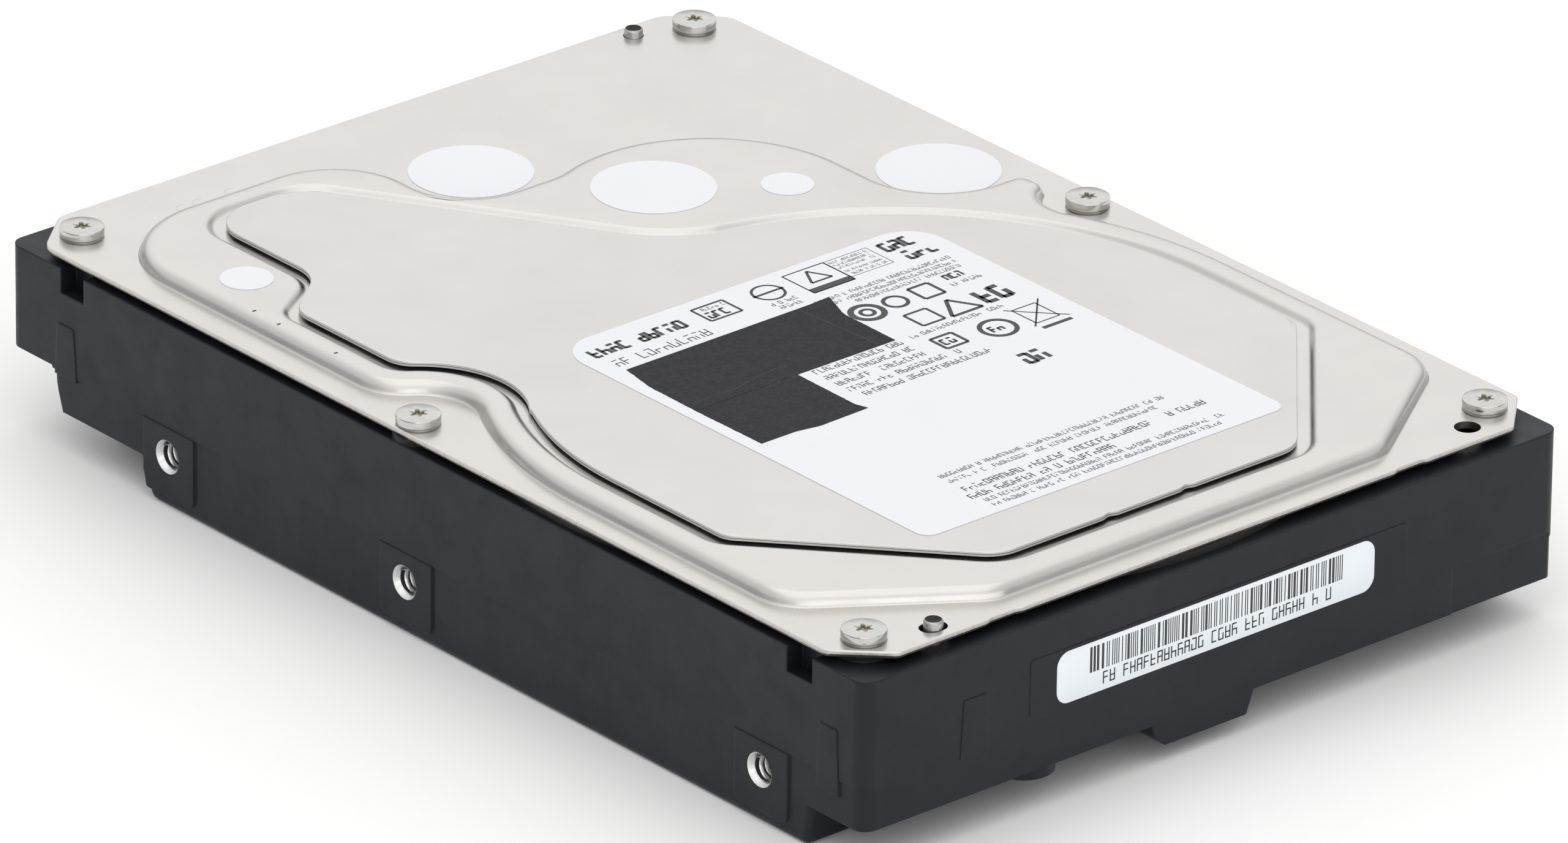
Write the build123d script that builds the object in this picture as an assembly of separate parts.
from build123d import *
import math
import os

# 3.5-inch hard disk drive, in millimetres. X runs across the drive, Y along it with the connectors at +Y,
# Z up through the cover. The origin is the middle of the bottom face.

os.makedirs("parts", exist_ok=True)

# Overall form factor
WIDTH = 101.6
LENGTH = 147.0
HEIGHT = 26.1
REAR = LENGTH / 2
SIDE_HOLE_Z = 6.35
SIDE_HOLE_Y = (45.0, 3.39, -56.6)
BOTTOM_HOLE_X = 47.625
BOTTOM_HOLE_Y = (32.22, -12.23)
THREAD_R = 1.45
THREAD_DEPTH = 4.6

# Base casting
WALL_HALF = 50.7
SKIRT_HALF = 50.55
FRONT_WALL = 73.37
SPLIT_Z = 9.9
UNDERSIDE_Z = 4.9
FLOOR_Z = 7.2
WALL_TOP = 22.7
REAR_STEP_Y = 65.8
REAR_STEP_Z = 10.2
RAIL_INNER = 44.4
CORNER_R = 1.8

# Cover
SHEET = 0.85
RIM_LOW = 23.5
RIM_TOP = RIM_LOW + SHEET
PLATEAU_Z = 25.95
RECESS_Z = 25.08
PLATE_LOW = 25.36
PLATE_TOP = 25.96
LABEL_TOP = 26.03
COVER_HALF = 50.5
COVER_FRONT = -72.1
COVER_REAR = 72.4
SCREWS = ((-45.4, 66.9), (45.3, 67.4), (-47.66, 4.86), (47.57, 1.53), (-45.2, -66.9), (45.7, -66.4))
SCREW_HEAD_R = 2.55
SCREW_HEAD_TOP = 25.5
PIN_REAR = (38.3, 70.0)
PIN_FRONT = (-37.8, -69.7)
TOOLING_HOLE = (40.7, -69.0)
LARGE_SEALS = ((-0.6, 52.5, RIM_TOP), (40.8, 19.35, RIM_TOP), (10.35, 33.45, PLATEAU_Z))
SMALL_SEALS = ((22.65, 24.55, PLATEAU_Z), (-40.7, 43.35, PLATEAU_Z))

# Disc pack, turning about the spindle
SPINDLE = (0.0, -22.0)
DISC_R = 47.5
DISC_BORE_R = 12.5
DISC_THICK = 1.27
DISC_PITCH = 3.6
DISC_LOW = 10.0
DISC_COUNT = 3
HUB_TOP = 18.25
POCKET_R = 48.5

# Head actuator, turning about the pivot
PIVOT = (-17.0, 33.0)
HEAD_REACH = 50.0
PARK_ANGLE = -18.4
SWING = 33.3
COIL_ANGLE = PARK_ANGLE + 180
COIL_LOW = 13.0
COIL_HIGH = 15.4
CARRIAGE_R = 9.2
SLEEVE_R = 7.0
BEARING_LEVELS = (10.4, 18.9)
BALL_CIRCLE_R = 4.4
BALL_R = 0.7
YOKE_POSTS = ((27.0, 108.0), (27.0, 145.0), (26.8, 178.0))
LATCH_PIVOT = (-38.5, 21.5)

# Circuit board
BOARD_LOW = 0.9
BOARD_TOP = 1.9
BOARD_SCREWS = ((-39.5, 60.5), (40.5, 57.5), (-39.5, 12.0), (39.5, 12.0), (0.0, 28.0))
CONNECTOR_X = 17.4
CONNECTOR_HALF = 21.0
CONTACT_PITCH = 1.27
BLADE_LOW = 5.0
BLADE_TOP = 6.2

# Blade pockets of the connector: offset of the middle from the connector centre, half width, contact count.
POCKETS = ((-13.2, 6.2, 7), (7.6, 12.0, 15))


# ---------------------------------------------------------------- shared shapes

def rounded(points):
    """Flat sketch whose corners, given as (x, y, radius), are rounded by true arcs."""
    joins = []
    for i, (x, y, radius) in enumerate(points):
        corner = Vector(x, y)
        before = points[i - 1]
        after = points[(i + 1) % len(points)]
        back = (Vector(before[0], before[1]) - corner).normalized()
        ahead = (Vector(after[0], after[1]) - corner).normalized()
        if radius == 0:
            joins.append((corner, None, corner))
            continue
        half = math.radians(back.get_angle(ahead)) / 2
        reach = radius / math.tan(half)
        inward = (back + ahead).normalized()
        crown = corner + inward * (radius / math.sin(half) - radius)
        joins.append((corner + back * reach, crown, corner + ahead * reach))
    edges = []
    for i, (start, crown, end) in enumerate(joins):
        if crown is not None:
            edges.append(ThreePointArc(start, crown, end))
        following = joins[(i + 1) % len(joins)][0]
        if (following - end).length > 1e-6:
            edges.append(Line(end, following))
    return make_face(edges)


def slab(sketch, low, high):
    """Sketch raised into a solid between two heights."""
    return extrude(Pos(0, 0, low) * sketch, high - low, dir=(0, 0, 1))


def sloped(sketch, start, end, run):
    """Solid from the sketch at one height to the sketch shrunk by the run at another."""
    shrunk = offset(sketch, -run, kind=Kind.INTERSECTION)
    return loft([Pos(0, 0, start) * sketch, Pos(0, 0, end) * shrunk], ruled=True)


def disc(radius, centre=(0.0, 0.0)):
    return Pos(centre[0], centre[1]) * Circle(radius)


def rod(radius, low, high, centre=(0.0, 0.0)):
    return slab(disc(radius, centre), low, high)


def tube(inner, outer, low, high, centre=(0.0, 0.0)):
    return slab(disc(outer, centre) - disc(inner, centre), low, high)


def block(x, y, z):
    """Box between the low and high limits of each axis."""
    size = (x[1] - x[0], y[1] - y[0], z[1] - z[0])
    middle = Pos((x[0] + x[1]) / 2, (y[0] + y[1]) / 2, (z[0] + z[1]) / 2)
    return middle * Box(*size)


def side_slab(sketch, low, high):
    """Sketch drawn in the YZ plane and raised along X."""
    return extrude(Plane.YZ.offset(low) * sketch, high - low, dir=(1, 0, 0))


def end_slab(sketch, low, high):
    """Sketch drawn in the XZ plane, with X to the right, and raised along Y from low to high."""
    plane = Plane(origin=(0, low, 0), x_dir=(1, 0, 0), z_dir=(0, -1, 0))
    return extrude(plane * sketch, high - low, dir=(0, 1, 0))


def mirrored(points):
    """The same corners on the other side of X = 0, kept in running order."""
    return [(-x, y, radius) for x, y, radius in reversed(points)]


def sector(inner, outer, middle_angle, half_angle, centre):
    """Part of a ring around a centre, between two angles in degrees."""
    far = outer * 2
    corners = [(0, 0)]
    for angle in (middle_angle - half_angle, middle_angle + half_angle):
        corners.append((far * math.cos(math.radians(angle)), far * math.sin(math.radians(angle))))
    wedge = make_face(Polyline(*corners, close=True))
    return Pos(centre[0], centre[1]) * ((Circle(outer) - Circle(inner)) & wedge)


def polar(radius, angle, centre):
    return (centre[0] + radius * math.cos(math.radians(angle)),
            centre[1] + radius * math.sin(math.radians(angle)))


def ring_places(count, radius, centre):
    """Points spread evenly on a circle."""
    return [polar(radius, 360 * i / count, centre) for i in range(count)]


def along_arm(sketch):
    """Sketch drawn with +X from the pivot towards the parked heads."""
    return Pos(PIVOT[0], PIVOT[1]) * Rot(0, 0, PARK_ANGLE) * sketch


def lobed_recess(radius, low, high, centre):
    """Six-lobe driver recess."""
    sketch = disc(radius * 0.72, centre)
    for spot in ring_places(6, radius * 0.76, centre):
        sketch += disc(radius * 0.24, spot)
    return slab(sketch, low, high)


def save(shape, node):
    export_step(shape, f"parts/{node}.step")


# ---------------------------------------------------------------- outlines

def cavity_outline():
    """Opening of the base: the round disc pocket joined to the actuator bay and the filter slot."""
    bay = rounded([
        (-46.3, 63.2, 11), (10, 63.2, 6), (15, 49, 6), (38, 46, 12),
        (45.2, 30, 8), (45.2, 9.5, 5), (36, 2, 0), (0, -22, 0), (-39, 3, 0), (-46.3, 14, 5),
    ])
    filter_slot = Pos(*polar(50.5, -52, SPINDLE)) * Rot(0, 0, 38) * Rectangle(15, 7)
    return bay + disc(POCKET_R, SPINDLE) + filter_slot


def upper_half_disc(radius, centre):
    """Half disc on the +Y side of its centre."""
    keep = Pos(centre[0], centre[1] + radius) * Rectangle(2 * radius + 1, 2 * radius)
    return disc(radius, centre) & keep


def blend(sketch, corners):
    """Sketch with the corners nearest to each (x, y, radius) rounded off."""
    for x, y, radius in corners:
        nearest = sketch.vertices().sort_by_distance((x, y, 0))[0]
        sketch = fillet(nearest, radius)
    return sketch


def plate_outline():
    """Damping plate: a flat-bottomed disc area with a neck that runs up over the voice coil motor."""
    lower = rounded([
        (-42.6, -22, 0), (-42.6, -40.8, 3), (-22.4, -63.1, 5), (20.8, -63.1, 5), (42.2, -39.4, 2.5),
        (42.2, -22, 0),
    ])
    neck = rounded([
        (-34.1, 58.9, 5.8), (-34.1, 39.3, 6), (-41.7, 33.6, 4.5), (-41.7, 5, 0), (-36, -8, 0),
        (0, -22, 0), (12.8, 18.2, 0), (2.9, 21.0, 18), (-20.9, 58.9, 7.6),
    ])
    outline = lower + upper_half_disc(42.4, (-0.2, -22)) + neck - disc(12.16, SCREWS[2])
    return blend(outline, [(-41.7, 15.6, 4)])


def recess_outline():
    """Top edge of the sunk area that holds the damping plate."""
    lower = rounded([
        (-44.5, -22, 0), (-44.5, -41.5, 4.9), (-23.3, -65.0, 6.9), (21.7, -65.0, 6.9), (44.1, -40.2, 4.4),
        (44.1, -22, 0),
    ])
    neck = rounded([
        (-36.0, 60.2, 6.5), (-36.0, 38.9, 4.5), (-43.5, 34.1, 4), (-43.5, 5, 0), (-37, -4, 0),
        (0, -22, 0), (13.6, 20.0, 0), (4.1, 22.7, 16), (-19.4, 60.2, 8),
    ])
    outline = lower + upper_half_disc(44.3, (-0.2, -22)) + neck - disc(10.26, SCREWS[2])
    return blend(outline, [(-43.5, 14.3, 4)])


def plateau_outline():
    """Foot of the raised plateau of the cover."""
    lower = rounded([
        (-47.8, -22, 0), (-47.8, -56, 7), (-28.4, -69.2, 6), (28.4, -69.2, 6), (47.8, -56, 7),
        (47.8, -22, 0),
    ])
    neck = rounded([
        (-46.9, 63.6, 13.5), (-46.9, 5, 0), (-41, 0, 0), (0, -22, 0), (42, -2, 0), (45.8, 1, 0),
        (45.8, 10.7, 2.2), (31.9, 10.7, 9.5), (31.9, 26, 0), (12.6, 26, 0), (6, 43.6, 0), (-9.7, 43.6, 7.5),
        (-9.7, 63.6, 10.5),
    ])
    lobe = disc(19.3, (12.6, 26))
    bays = disc(6.93, SCREWS[2]) + disc(5.85, (48.3, 1.3))
    outline = lower + upper_half_disc(47.8, SPINDLE) + neck + lobe - bays
    return blend(outline, [(-46.9, 11.8, 7), (45.8, 6.6, 1.8), (4.7, 43.6, 8)])


# ---------------------------------------------------------------- enclosure

def base_body():
    """Outer block of the base with its split line, end walls and rear step."""
    upper = slab(rounded([
        (-WALL_HALF, -FRONT_WALL, CORNER_R), (WALL_HALF, -FRONT_WALL, CORNER_R),
        (WALL_HALF, REAR, CORNER_R), (-WALL_HALF, REAR, CORNER_R),
    ]), SPLIT_Z, WALL_TOP)
    lower = slab(rounded([
        (-SKIRT_HALF, -FRONT_WALL, CORNER_R), (SKIRT_HALF, -FRONT_WALL, CORNER_R),
        (SKIRT_HALF, REAR_STEP_Y, 1), (-SKIRT_HALF, REAR_STEP_Y, 1),
    ]), UNDERSIDE_Z, SPLIT_Z)
    ramp = side_slab(rounded([
        (REAR_STEP_Y, REAR_STEP_Z, 0), (64.0, UNDERSIDE_Z - 0.1, 0), (75, UNDERSIDE_Z - 0.1, 0),
        (75, REAR_STEP_Z, 0),
    ]), -WIDTH / 2, WIDTH / 2)
    front_draft = block((35, 52), (-FRONT_WALL - 0.1, -FRONT_WALL + 0.15), (UNDERSIDE_Z - 0.1, 10.5))
    return upper + lower - ramp - front_draft


def rail_profile(top):
    """Side view of a rail, as far up as a given height."""
    return rounded([
        (-64.8, 5.4, 0), (-64.3, 0, 0.9), (48.4, 0, 1.2), (49.2, 3.2, 1.5), (51.0, 5.4, 0), (51.0, top, 0),
        (-64.8, top, 0),
    ])


def base_rails():
    """Two side rails that the drive stands on."""
    rail = side_slab(rail_profile(UNDERSIDE_Z + 0.6), RAIL_INNER, SKIRT_HALF)
    rail = fillet(rail.edges().filter_by(Axis.Y).group_by(Axis.Z)[0].sort_by(Axis.X)[-1], 0.8)
    return rail + mirror(rail, about=Plane.YZ)


def base_side_pads():
    """Flat raised pads around the side holes and the tapered draft bosses above the split line."""
    pads = []
    for y in SIDE_HOLE_Y:
        pads.append(rail_profile(SPLIT_Z) & rounded([
            (y - 4.6, 1.4, 1), (y + 4.3, 1.4, 1), (y + 4.3, SPLIT_Z, 0), (y - 4.6, SPLIT_Z, 0),
        ]))
    pads.append(rounded([(61.3, 9.5, 0), (65.2, 9.5, 0), (64.7, 15.9, 0.3), (61.8, 15.9, 0.3)]))
    pads.append(rounded([(-69.5, 8.0, 0), (-65.8, 8.0, 0), (-66.2, 15.8, 0.3), (-69.1, 15.8, 0.3)]))
    right = Compound(children=[side_slab(pad, SKIRT_HALF - 0.6, WIDTH / 2) for pad in pads])
    return list(right.solids()) + list(mirror(right, about=Plane.YZ).solids())


def base_front_details():
    """Tapered boss, label pad, hanging tab and small foot of the front end."""
    boss = end_slab(rounded([
        (-36.9, 9.6, 0), (-32.8, 9.6, 0), (-33.2, 16.5, 0.4), (-36.5, 16.5, 0.4),
    ]), -73.45, -73.0)
    pad = end_slab(rounded([
        (-27, 11.3, 0.5), (28, 11.3, 0.5), (28, 18.3, 0.5), (-27, 18.3, 0.5),
    ]), -73.42, -73.0)
    tab = end_slab(rounded([
        (-9.3, UNDERSIDE_Z + 0.5, 0), (-8.6, 3.2, 1.5), (-7.2, 2.1, 0.2), (4.7, 2.1, 0.2),
        (5.9, UNDERSIDE_Z + 0.5, 0),
    ]), -FRONT_WALL, -69.4)
    foot = rod(3.5, 3.5, 6.0, (-24.4, -69.6))
    return [boss, pad, tab, foot]


def base_underside():
    """Ribs, board standoffs and motor boss under the floor."""
    shapes = [slab(sector(38.5, 40.0, 270, 88, SPINDLE), 3.9, 5.5), rod(14.0, 3.9, 5.5, SPINDLE)]
    for angle in (200, 235, 270, 305, 340):
        rib = Pos(*polar(26, angle, SPINDLE)) * Rot(0, 0, angle) * Rectangle(27, 1.5)
        shapes.append(slab(rib, 3.9, 5.5))
    for spot in BOARD_SCREWS:
        shapes.append(rod(3.0, BOARD_TOP, 5.5, spot))
    return shapes


def base_top_bosses():
    """Round pads that the cover is screwed down on."""
    return [rod(2.9, WALL_TOP - 1, RIM_LOW, spot) for spot in SCREWS]


def base_holes():
    """Everything drilled, tapped or cored out of the casting."""
    cuts = []
    for y in SIDE_HOLE_Y:
        bore = Pos(-WIDTH / 2, y, SIDE_HOLE_Z) * Rot(0, 90, 0) * Cylinder(THREAD_R, THREAD_DEPTH * 2)
        countersink = Cone(2.05, THREAD_R, 0.6, align=(Align.CENTER, Align.CENTER, Align.MIN))
        mouth = Pos(-WIDTH / 2, y, SIDE_HOLE_Z) * Rot(0, 90, 0) * countersink
        cuts += [bore, mouth, mirror(bore, about=Plane.YZ), mirror(mouth, about=Plane.YZ)]
    for x in (-BOTTOM_HOLE_X, BOTTOM_HOLE_X):
        for y in BOTTOM_HOLE_Y:
            cuts.append(rod(THREAD_R, -1, 4.6, (x, y)))
    for spot in SCREWS:
        cuts.append(rod(1.3, 14.0, RIM_LOW + 1, spot))
    for spot in (PIN_REAR, PIN_FRONT):
        cuts.append(rod(1.1, 17.0, WALL_TOP + 1, spot))
    cuts.append(rod(1.3, 15.0, WALL_TOP + 1, TOOLING_HOLE))
    for spot in BOARD_SCREWS:
        cuts.append(rod(1.0, BOARD_TOP - 1, 6.1, spot))
    for sign in (-1, 1):
        for y in ((60.0, 64.1), (-64.9, -60.7)):
            outer = sorted((sign * 48.4, sign * 51.5))
            cuts.append(block(outer, y, (19.7, WALL_TOP + 1)))
    pocket = [(-47.3, -62.4, 2), (-47.3, -70.4, 2), (-24, -70.4, 2), (-34, -62.4, 3)]
    cuts.append(slab(rounded(pocket), UNDERSIDE_Z - 1, 11))
    cuts.append(slab(rounded(mirrored(pocket)), UNDERSIDE_Z - 1, 11))
    cuts.append(rod(4.5, 0, 20, SPINDLE))
    cuts.append(block((-5.5, 5.5), (47.6, 52.4), (UNDERSIDE_Z - 2, FLOOR_Z + 1)))
    return cuts


def base_casting():
    """Die-cast base: tub, rails, bosses, motor mount and every hole."""
    body = base_body()
    body += base_rails()
    for shape in base_side_pads() + base_front_details() + base_underside() + base_top_bosses():
        body += shape
    body -= slab(cavity_outline(), FLOOR_Z, WALL_TOP + 5)
    body += rod(7.0, FLOOR_Z - 1, 9.4, SPINDLE)
    body += rod(6.0, FLOOR_Z - 1, 12.6, SPINDLE)
    body += rod(5.0, FLOOR_Z - 1, 8.3, PIVOT)
    for shape in base_holes():
        body -= shape
    return body


def cover_gasket():
    """Rubber seal that follows the edge of the tub."""
    outline = cavity_outline()
    return slab(offset(outline, 1.6, kind=Kind.ARC) - offset(outline, 0.4, kind=Kind.ARC), WALL_TOP, RIM_LOW)


def cover_rim():
    """Flat sheet with clipped corners and the small steps left where its carrier tabs were cut."""
    rim = rounded([
        (-COVER_HALF, -66.6, 1.5), (-44.8, COVER_FRONT, 1), (44.8, COVER_FRONT, 1), (COVER_HALF, -66.6, 1.5),
        (COVER_HALF, 67.2, 3), (44.4, COVER_REAR, 3), (-44.4, COVER_REAR, 3), (-COVER_HALF, 67.2, 3),
    ])
    for x in (-29.6, 29.6):
        rim -= Pos(x, COVER_FRONT) * Rectangle(4.2, 0.5)
    return rim


def top_cover():
    """Stamped cover: rim, raised plateau and the sunk area for the damping plate."""
    cover = slab(cover_rim(), RIM_LOW, RIM_TOP)
    cover += sloped(plateau_outline(), RIM_TOP, PLATEAU_Z, 0.5)
    underside = slab(offset(plateau_outline(), -SHEET, kind=Kind.ARC), RIM_LOW - 1, PLATEAU_Z - SHEET)
    underside -= slab(offset(recess_outline(), 0.6, kind=Kind.ARC), RECESS_Z - SHEET, PLATEAU_Z)
    cover -= underside
    cover -= sloped(recess_outline(), PLATEAU_Z, RECESS_Z, 0.6)
    for spot in SCREWS:
        cover -= rod(1.6, RIM_LOW - 1, RIM_TOP + 1, spot)
    cover -= rod(1.2, RIM_LOW - 1, RIM_TOP + 1, PIN_REAR)
    cover -= slab(Pos(*PIN_FRONT) * SlotOverall(3.4, 2.5), RIM_LOW - 1, RIM_TOP + 1)
    cover -= rod(1.5, RIM_LOW - 1, RIM_TOP + 1, TOOLING_HOLE)
    for x, y, _ in LARGE_SEALS:
        cover -= rod(3.2, RIM_LOW - 1, HEIGHT, (x, y))
    for x, y, _ in SMALL_SEALS:
        cover -= rod(1.2, RIM_LOW - 1, HEIGHT, (x, y))
    return cover


def damping_plate():
    """Laminated plate with two small locating nicks in its front edge."""
    outline = plate_outline()
    for x in (-6.5, 4.7):
        outline -= Pos(x, -63.1) * Rectangle(0.9, 0.9)
    return slab(outline, PLATE_LOW, PLATE_TOP)


def plate_adhesive():
    return slab(offset(plate_outline(), -1.0, kind=Kind.ARC), RECESS_Z, PLATE_LOW)


def cover_screws():
    """Flat cylinder-head screws with six-lobe recesses."""
    screws = []
    for spot in SCREWS:
        head = rod(SCREW_HEAD_R, RIM_TOP, SCREW_HEAD_TOP, spot)
        head = fillet(head.edges().group_by(Axis.Z)[-1], 0.15)
        screw = head + rod(1.25, 15.0, RIM_TOP, spot)
        screws.append(screw - lobed_recess(1.25, SCREW_HEAD_TOP - 0.8, SCREW_HEAD_TOP + 1, spot))
    return Compound(children=screws)


def locating_pins():
    """Hardened pins pressed into the base, with a dished top."""
    pins = []
    for spot in (PIN_REAR, PIN_FRONT):
        pin = rod(1.1, 17.0, 25.3, spot)
        pin = chamfer(pin.edges().group_by(Axis.Z)[-1], 0.15)
        pins.append(pin - rod(0.8, 25.15, 26, spot))
    return Compound(children=pins)


def round_seals(places, radius):
    return Compound(children=[rod(radius, z, z + 0.08, (x, y)) for x, y, z in places])


def product_label():
    outline = rounded([(-26.2, -55.2, 1.8), (26.5, -55.2, 1.8), (26.5, 7.3, 5), (-26.2, 7.3, 5)])
    return slab(outline, PLATE_TOP, LABEL_TOP)


def long_tape_strip():
    """Dark tape torn off at a slant at its right end."""
    outline = rounded([
        (-24.6, -14.9, 0), (4.5, -14.9, 0), (4.6, -6.0, 2), (6.3, -1.6, 0), (3.4, -1.8, 0), (-23.6, -2.0, 0),
        (-24.5, -7.0, 3),
    ])
    return slab(outline, LABEL_TOP, HEIGHT)


def short_tape_strip():
    outline = rounded([
        (-24.5, -25.9, 0), (-19.5, -25.9, 4), (-16.5, -26.5, 4), (-9.4, -26.3, 0), (-9.9, -24.6, 1),
        (-9.8, -14.95, 0), (-24.6, -14.95, 0),
    ])
    return slab(outline, LABEL_TOP, HEIGHT)


def barcode_label():
    outline = rounded([(-23.2, 11.7, 1.7), (23.1, 11.7, 1.7), (23.1, 17.9, 1.7), (-23.2, 17.9, 1.7)])
    return end_slab(outline, -LENGTH / 2, -73.42)


# ---------------------------------------------------------------- spindle motor and disc pack

def bearing_sleeve():
    """Fluid bearing sleeve with a wider bottom bore for the thrust flange."""
    return tube(2.05, 4.5, 5.5, 15.2, SPINDLE) - rod(3.3, 5.0, 6.5, SPINDLE)


def thrust_cap():
    return rod(4.5, UNDERSIDE_Z, 5.5, SPINDLE)


def stator_core():
    """Laminated ring with nine T-shaped teeth."""
    core = tube(6.02, 7.2, 9.4, 12.4, SPINDLE)
    for i in range(9):
        angle = 40 * i
        tooth = Pos(*polar(8.0, angle, SPINDLE)) * Rot(0, 0, angle) * Rectangle(2.4, 0.9)
        core += slab(tooth + sector(8.9, 9.6, angle, 15, SPINDLE), 9.4, 12.4)
    return core


def stator_coils():
    """Winding around each tooth."""
    coils = []
    for i in range(9):
        place = Pos(*polar(8.02, 40 * i, SPINDLE)) * Rot(0, 0, 40 * i)
        winding = place * Pos(0, 0, 10.9) * Box(1.5, 2.3, 4.2)
        coils.append(fillet(winding.edges().filter_by(lambda e: abs(e.length - 1.5) < 1e-3), 0.5)
                     - place * Pos(0, 0, 10.9) * Box(3, 0.9, 3.0))
    return Compound(children=coils)


def motor_flex():
    """Thin printed lead from the motor to the circuit board."""
    return slab(rounded([(-4, -16, 1), (4, -16, 1), (2.5, -2, 0.5), (-2.5, -2, 0.5)]), 3.75, 3.9)


def spindle_shaft():
    return rod(2.0, 6.4, 18.6, SPINDLE) + rod(3.2, 5.6, 6.4, SPINDLE)


def rotor_hub():
    """Hub that carries the discs, with a flange below them and the motor inside it."""
    hub = rod(12.45, 9.0, HUB_TOP, SPINDLE) + rod(15.5, 9.0, DISC_LOW, SPINDLE)
    hub -= rod(11.2, 8.0, 15.6, SPINDLE)
    hub -= rod(2.0, 15.0, 19.0, SPINDLE)
    for spot in ring_places(6, 8.4, SPINDLE):
        hub -= rod(1.0, 16.0, 19.0, spot)
    return hub


def rotor_magnet():
    return tube(10.0, 11.2, 9.2, 13.2, SPINDLE)


def disc_level(i):
    return DISC_LOW + i * DISC_PITCH


def platters():
    discs = []
    for i in range(DISC_COUNT):
        platter = tube(DISC_BORE_R, DISC_R, disc_level(i), disc_level(i) + DISC_THICK, SPINDLE)
        outer_edges = platter.edges().filter_by(GeomType.CIRCLE).group_by(SortBy.RADIUS)[-1]
        discs.append(chamfer(outer_edges, 0.15))
    return Compound(children=discs)


def platter_spacers():
    rings = []
    for i in range(DISC_COUNT - 1):
        rings.append(tube(DISC_BORE_R, 15.5, disc_level(i) + DISC_THICK, disc_level(i + 1), SPINDLE))
    return Compound(children=rings)


def disc_clamp():
    """Dished spring plate that presses the pack on to the flange."""
    top_disc = disc_level(DISC_COUNT - 1) + DISC_THICK
    profile = make_face(Polyline(
        (4.0, HUB_TOP), (12.4, HUB_TOP), (12.4, top_disc), (15.4, top_disc), (15.4, 19.4),
        (12.6, 19.4), (11.8, 19.2), (4.0, 19.2), close=True))
    clamp = Pos(SPINDLE[0], SPINDLE[1], 0) * revolve(Plane.XZ * profile, Axis.Z)
    for spot in ring_places(6, 8.4, SPINDLE):
        clamp -= rod(1.05, 17.0, 20.0, spot)
    return clamp


def clamp_screws():
    screws = []
    for spot in ring_places(6, 8.4, SPINDLE):
        screw = rod(1.7, 19.2, 20.1, spot) + rod(0.95, 16.1, 19.2, spot)
        screws.append(screw - lobed_recess(0.9, 19.6, 21.0, spot))
    return Compound(children=screws)


# ---------------------------------------------------------------- head actuator

def pivot_shaft():
    shaft = rod(2.5, 8.3, 20.9, PIVOT) + rod(4.0, 8.3, 8.9, PIVOT)
    return shaft - rod(1.0, 16.0, 22.0, PIVOT)


def bearing_races(inner, outer):
    """One ring at each bearing level, with the groove that the balls run in."""
    rings = []
    for z in BEARING_LEVELS:
        groove = Pos(PIVOT[0], PIVOT[1], z) * Torus(BALL_CIRCLE_R, BALL_R + 0.05)
        rings.append(tube(inner, outer, z - 1.1, z + 1.1, PIVOT) - groove)
    return Compound(children=rings)


def caged_balls():
    """Balls that stand out on both sides of the ring that spaces them."""
    sets = []
    for z in BEARING_LEVELS:
        cage = tube(BALL_CIRCLE_R - 0.2, BALL_CIRCLE_R + 0.2, z - 0.8, z + 0.8, PIVOT)
        for i in range(10):
            x, y = polar(BALL_CIRCLE_R, 36 * i, PIVOT)
            cage += Pos(x, y, z) * Rot(0, 0, 36 * i + 90) * Sphere(BALL_R)
        sets.append(cage)
    return Compound(children=sets)


def pivot_sleeve():
    return tube(6.3, SLEEVE_R, 9.2, 20.0, PIVOT)


def arm_levels():
    """Middle heights of the arms: one below, one above and one between each pair of discs."""
    middle = DISC_LOW + DISC_THICK / 2
    return [middle + (i - 0.5) * DISC_PITCH for i in range(DISC_COUNT + 1)]


def head_carriage():
    """Hub with one arm for each gap of the disc pack."""
    carriage = rod(CARRIAGE_R, 8.33, 20.14, PIVOT)
    arm = rounded([
        (0, 8.2, 0), (12, 7.0, 8), (37.5, 3.3, 1.2), (37.5, -3.3, 1.2), (12, -7.0, 8), (0, -8.2, 0),
    ])
    arm -= rounded([(14, 3.4, 1.5), (14, -3.4, 1.5), (28, -1.2, 0.8), (28, 1.2, 0.8)])
    for z in arm_levels():
        carriage += slab(along_arm(arm), z - 0.5, z + 0.5)
    return carriage - rod(SLEEVE_R, 8, 21, PIVOT)


def facing_sides():
    """Each arm face that looks at a disc, as (arm level, +1 up or -1 down)."""
    levels = arm_levels()
    sides = []
    for i, z in enumerate(levels):
        if i > 0:
            sides.append((z, -1))
        if i < len(levels) - 1:
            sides.append((z, 1))
    return sides


def suspensions():
    """Sprung load beams with lift tabs at their ends."""
    beam = rounded([
        (31, 2.6, 0.6), (31, -2.6, 0.6), (38.5, -2.4, 1), (50.2, -0.9, 0.6), (51.3, -0.4, 0.2),
        (53.4, -0.4, 0.3), (53.4, 0.4, 0.3), (51.3, 0.4, 0.2), (50.2, 0.9, 0.6), (38.5, 2.4, 1),
    ])
    beam -= Pos(34, 0) * Circle(1.1)
    beams = []
    for z, side in facing_sides():
        faces = sorted((z + side * 0.5, z + side * 0.65))
        beams.append(slab(along_arm(beam), faces[0], faces[1]))
    return Compound(children=beams)


def sliders():
    """Read and write heads on their air-bearing blocks."""
    outline = Pos(HEAD_REACH, 0) * Rectangle(1.25, 1.0)
    blocks = []
    for z, side in facing_sides():
        faces = sorted((z + side * 0.65, z + side * 0.95))
        blocks.append(slab(along_arm(outline), faces[0], faces[1]))
    return Compound(children=blocks)


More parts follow.
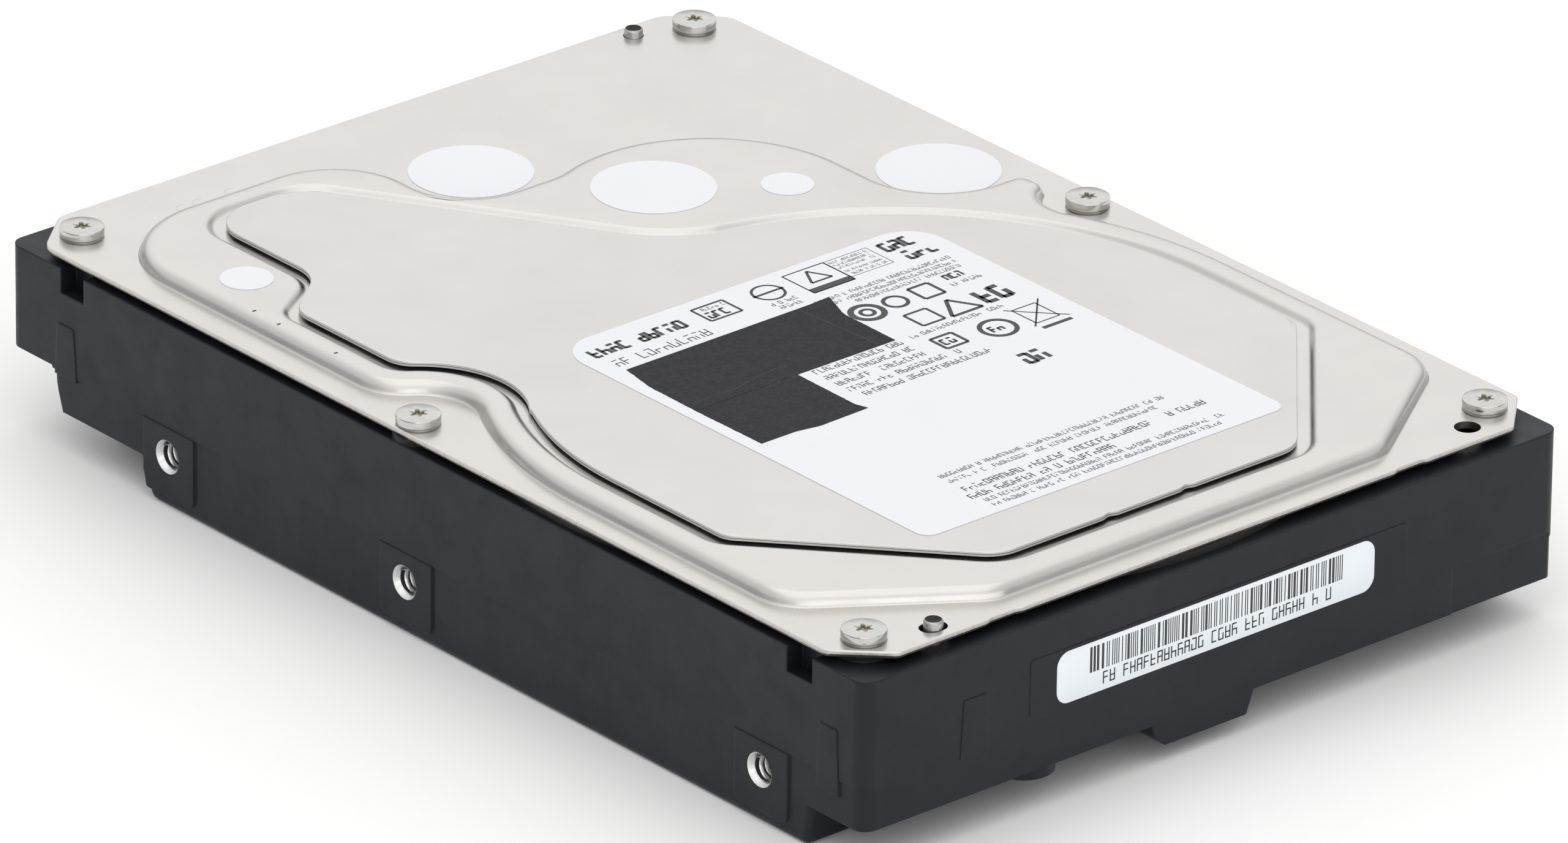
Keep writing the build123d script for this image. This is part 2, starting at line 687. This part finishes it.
def voice_coil():
    ring = sector(13.5, 24.0, COIL_ANGLE, 20, PIVOT)
    window = sector(16.6, 20.9, COIL_ANGLE, 10.5, PIVOT)
    coil = slab(ring - window, COIL_LOW, COIL_HIGH)
    return fillet(coil.edges().filter_by(Axis.Z), 0.9)


def coil_overmould():
    """Plastic fork that joins the coil to the carriage."""
    frame = sector(CARRIAGE_R + 0.02, 24.8, COIL_ANGLE, 23.5, PIVOT)
    frame -= sector(13.4, 24.1, COIL_ANGLE, 20.3, PIVOT)
    return slab(frame, COIL_LOW, COIL_HIGH)


def preamp_circuit():
    """Stiffened end of the head lead on the carriage, with the preamplifier chip on it."""
    place = Pos(PIVOT[0], PIVOT[1], 14.2) * Rot(0, 0, 60)
    plate = place * Pos(CARRIAGE_R + 0.15, 0, 0) * Box(0.7, 7.0, 8.6) - rod(CARRIAGE_R + 0.02, 8, 21, PIVOT)
    chip = place * Pos(CARRIAGE_R + 0.8, 0.4, 0.6) * Box(0.6, 3.6, 3.2)
    return plate + chip


def yoke_face(outer):
    """Plan shape shared by both yokes."""
    shape = sector(10.6, outer, 143.5, 40.5, PIVOT)
    room = Pos(-25.0, 40.0) * Rectangle(41.6, 60)
    return shape & room


def yoke(low, high):
    plate = slab(yoke_face(28.8), low, high)
    for radius, angle in YOKE_POSTS:
        plate -= rod(1.0, low - 1, high + 1, polar(radius, angle, PIVOT))
    return plate


def magnets(low, high):
    """Two arc magnets side by side with opposite poles."""
    halves = [slab(sector(12.5, 25.0, angle, 14.8, PIVOT), low, high) for angle in (128.5, 158.5)]
    return Compound(children=halves)


def yoke_posts():
    """Spacer tubes that hold the yokes apart."""
    return Compound(children=[tube(1.0, 1.5, 10.2, 18.2, polar(r, a, PIVOT)) for r, a in YOKE_POSTS])


def yoke_screws():
    screws = []
    for radius, angle in YOKE_POSTS:
        spot = polar(radius, angle, PIVOT)
        screw = rod(1.6, 20.8, 21.8, spot) + rod(0.95, FLOOR_Z, 20.8, spot)
        screws.append(screw - lobed_recess(0.85, 21.2, 23.0, spot))
    return Compound(children=screws)


def crash_stops():
    """Rubber-sleeved posts just beyond each end of the swing."""
    posts = []
    for angle in (COIL_ANGLE + 30.2, COIL_ANGLE - SWING - 30.5):
        posts.append(rod(1.6, FLOOR_Z, 17.5, polar(19.0, angle, PIVOT)))
    return Compound(children=posts)


def load_ramp():
    """Plastic comb beyond the disc edge that the lift tabs park on."""
    back = sector(54.2, 57.4, PARK_ANGLE + 1.4, 4.0, PIVOT)
    finger = sector(51.35, 54.3, PARK_ANGLE + 0.3, 2.7, PIVOT)
    spot = polar(60.0, PARK_ANGLE + 4.2, PIVOT)
    foot = disc(3.0, spot) + sector(56, 60, PARK_ANGLE + 3, 2.4, PIVOT)
    ramp = slab(back, FLOOR_Z, 19.4) + slab(foot, FLOOR_Z, 9.4)
    for i in range(DISC_COUNT):
        middle = disc_level(i) + DISC_THICK / 2
        ramp += slab(finger, middle - 1.05, middle + 1.05)
    return ramp - rod(1.1, FLOOR_Z - 1, 10, spot)


def ramp_screw():
    spot = polar(60.0, PARK_ANGLE + 4.2, PIVOT)
    screw = rod(1.8, 9.4, 10.4, spot) + rod(1.05, FLOOR_Z, 9.4, spot)
    return screw - lobed_recess(0.95, 9.8, 11.0, spot)


def latch_pin():
    return rod(1.2, FLOOR_Z, 16.6, LATCH_PIVOT)


def latch_lever():
    """Lever that blocks the carriage under shock."""
    finger = rounded([(-40.2, 21.5, 0), (-36.8, 21.5, 0), (-36.2, 26.6, 0.7), (-38.6, 27.2, 0.7)])
    return slab(disc(2.4, LATCH_PIVOT) + finger - disc(1.26, LATCH_PIVOT), 13.2, 15.2)


def recirculation_filter():
    place = Pos(*polar(51.6, -52, SPINDLE)) * Rot(0, 0, 38)
    return fillet(slab(place * Rectangle(13.4, 3.4), FLOOR_Z, 19.5).edges().filter_by(Axis.Z), 0.8)


def breather_filter():
    pack = block((2.5, 9.0), (54.8, 61.8), (FLOOR_Z, 12.5))
    return fillet(pack.edges().filter_by(Axis.Z), 1.0)


def head_connector():
    """Connector that carries the head signals through the floor, with an upright bracket for the ribbon."""
    body = block((-5.4, 5.4), (47.7, 52.3), (BOARD_TOP, 9.2))
    flange = block((-6.6, 6.6), (46.9, 53.1), (FLOOR_Z, 8.4))
    bracket = block((-6.6, -5.2), (51.1, 53.1), (FLOOR_Z, 18.8))
    return body + flange + bracket


def flex_ribbon():
    """Printed ribbon that loops from the connector to the carriage."""
    return slab(sector(7.0, 7.16, -8.75, 50.25, (-11.2, 46.3)), 9.8, 18.4)


# ---------------------------------------------------------------- electronics

def circuit_board():
    """Board under the rear of the base, rounded out around the motor."""
    outline = rounded([
        (-43.6, -20, 2), (-17, -20, 2), (-17, -3, 1), (17, -3, 1), (17, -20, 2), (43.6, -20, 2),
        (43.6, 62.5, 3), (39.5, 65, 1), (39.5, 72.6, 0.8), (-4.8, 72.6, 0.8), (-4.8, 65, 1), (-43.6, 65, 3),
    ])
    outline -= disc(17.5, SPINDLE)
    board = slab(outline, BOARD_LOW, BOARD_TOP)
    for spot in BOARD_SCREWS:
        board -= rod(1.1, 0, 3, spot)
    return board


def foam_pad():
    """Insulating foam between the board and the floor."""
    pad = rounded([(-34, 2, 2), (34, 2, 2), (34, 42, 2), (-34, 42, 2)]) - disc(4.2, BOARD_SCREWS[4])
    return slab(pad, 4.3, UNDERSIDE_Z)


def board_screws():
    screws = []
    for spot in BOARD_SCREWS:
        screw = rod(2.2, 0.3, BOARD_LOW, spot) + rod(0.95, BOARD_LOW, 5.8, spot)
        screws.append(screw - lobed_recess(0.95, 0.0, 0.7, spot))
    return Compound(children=screws)


def chip(x, y, width, depth, height):
    body = Pos(x, y, BOARD_TOP + height / 2) * Box(width, depth, height)
    return chamfer(body.edges().group_by(Axis.Z)[-1], 0.1)


def passives():
    """Rows of small capacitors and resistors beside the chips, with two inductors."""
    parts = []
    for i in range(8):
        parts.append(chip(-32 + 2.6 * i, 36.5, 1.0, 1.8, 0.8))
        parts.append(chip(12 + 2.6 * i, 6.0, 1.0, 1.8, 0.8))
    for y in (14, 19, 24):
        parts.append(chip(30, y, 3.4, 2.8, 1.6))
    for x in (24.0, 30.5):
        parts.append(chip(x, -9, 4.0, 4.0, 2.0))
    return Compound(children=parts)


def connector_housing():
    """Plastic shell with an L-shaped blade for data and one for power."""
    left = CONNECTOR_X - CONNECTOR_HALF
    right = CONNECTOR_X + CONNECTOR_HALF
    shell = block((left, right), (66.3, 73.3), (BOARD_TOP, 9.4))
    for middle, half, _ in POCKETS:
        x = CONNECTOR_X + middle
        shell -= block((x - half, x + half), (68.2, 74.0), (3.0, 8.4))
        shell += block((x - half + 0.9, x + half - 1.4), (68.0, 73.0), (BLADE_LOW, BLADE_TOP))
        shell += block((x + half - 2.6, x + half - 1.4), (68.0, 73.0), (3.7, BLADE_TOP))
    return shell


def connector_contacts():
    """Gold strips on the blades: seven for data, fifteen for power."""
    strips = []
    for middle, half, count in POCKETS:
        first = CONNECTOR_X + middle - half + 2.1
        for i in range(count):
            x = first + CONTACT_PITCH * i
            strips.append(block((x - 0.35, x + 0.35), (68.2, 72.6), (BLADE_TOP, BLADE_TOP + 0.1)))
    return Compound(children=strips)


# ---------------------------------------------------------------- write every node

NODES = {
    "base_casting": base_casting,
    "cover_gasket": cover_gasket,
    "top_cover": top_cover,
    "damping_plate": damping_plate,
    "plate_adhesive": plate_adhesive,
    "cover_screws": cover_screws,
    "locating_pins": locating_pins,
    "large_hole_seals": lambda: round_seals(LARGE_SEALS, 7.2),
    "small_hole_seals": lambda: round_seals(SMALL_SEALS, 3.05),
    "product_label": product_label,
    "long_tape_strip": long_tape_strip,
    "short_tape_strip": short_tape_strip,
    "barcode_label": barcode_label,
    "bearing_sleeve": bearing_sleeve,
    "thrust_cap": thrust_cap,
    "stator_core": stator_core,
    "stator_coils": stator_coils,
    "motor_flex": motor_flex,
    "spindle_shaft": spindle_shaft,
    "rotor_hub": rotor_hub,
    "rotor_magnet": rotor_magnet,
    "platters": platters,
    "platter_spacers": platter_spacers,
    "disc_clamp": disc_clamp,
    "clamp_screws": clamp_screws,
    "pivot_shaft": pivot_shaft,
    "inner_races": lambda: bearing_races(2.5, 3.9),
    "outer_races": lambda: bearing_races(4.95, 6.3),
    "caged_balls": caged_balls,
    "pivot_sleeve": pivot_sleeve,
    "head_carriage": head_carriage,
    "suspensions": suspensions,
    "sliders": sliders,
    "voice_coil": voice_coil,
    "coil_overmould": coil_overmould,
    "preamp_circuit": preamp_circuit,
    "lower_yoke": lambda: yoke(FLOOR_Z, 10.2),
    "upper_yoke": lambda: yoke(18.2, 20.8),
    "lower_magnets": lambda: magnets(10.2, 12.6),
    "upper_magnets": lambda: magnets(15.8, 18.2),
    "yoke_posts": yoke_posts,
    "yoke_screws": yoke_screws,
    "crash_stops": crash_stops,
    "load_ramp": load_ramp,
    "ramp_screw": ramp_screw,
    "latch_pin": latch_pin,
    "latch_lever": latch_lever,
    "recirculation_filter": recirculation_filter,
    "breather_filter": breather_filter,
    "head_connector": head_connector,
    "flex_ribbon": flex_ribbon,
    "circuit_board": circuit_board,
    "foam_pad": foam_pad,
    "board_screws": board_screws,
    "controller_chip": lambda: chip(-14, 16, 14, 14, 1.3),
    "memory_chip": lambda: chip(4.5, 17.5, 8, 12, 1.0),
    "motor_driver_chip": lambda: chip(18.5, 18, 8, 8, 1.0),
    "board_passives": passives,
    "connector_housing": connector_housing,
    "connector_contacts": connector_contacts,
}

for node, build in NODES.items():
    save(build(), node)
